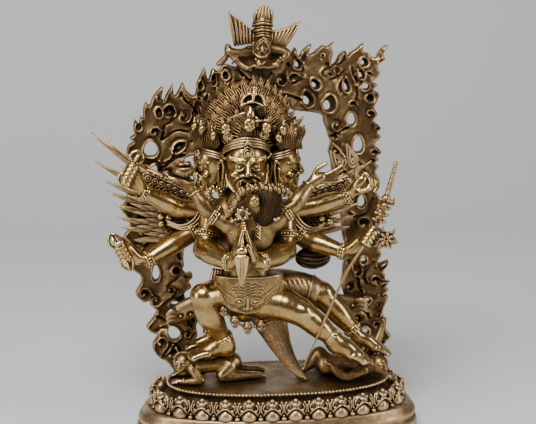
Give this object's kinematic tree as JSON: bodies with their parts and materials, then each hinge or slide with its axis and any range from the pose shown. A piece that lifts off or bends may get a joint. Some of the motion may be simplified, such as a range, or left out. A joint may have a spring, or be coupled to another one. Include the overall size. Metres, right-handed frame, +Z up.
{
  "type": "vajrakilaya statue",
  "caption": "Cast brass altar statue of a winged, many-armed wrathful deity with consort on a lotus base, before an openwork arch of flames.",
  "frame": {"origin": "middle of the lotus base's flat underside", "axes": "+Z up, the figure faces -Y, +X is the viewer's right"},
  "size_m": [0.2265, 0.0964, 0.2974],
  "materials": {
    "polished_brass": "polished on the swellings, dark brown in the recesses",
    "aged_brass": "brown patina, rubbed brighter on the edges",
    "reddish_brass": "satin, reddish brown"
  },
  "bodies": {
    "root": {"lotus_base": "aged_brass", "flame_arch": "aged_brass", "crest_bird": "polished_brass", "deity": "polished_brass", "consort": "polished_brass", "left_wing": "aged_brass", "right_wing": "aged_brass", "dagger": "polished_brass", "skull_staff": "reddish_brass", "crouching_figure": "polished_brass", "prone_figure": "polished_brass"}
  },
  "joints": []
}
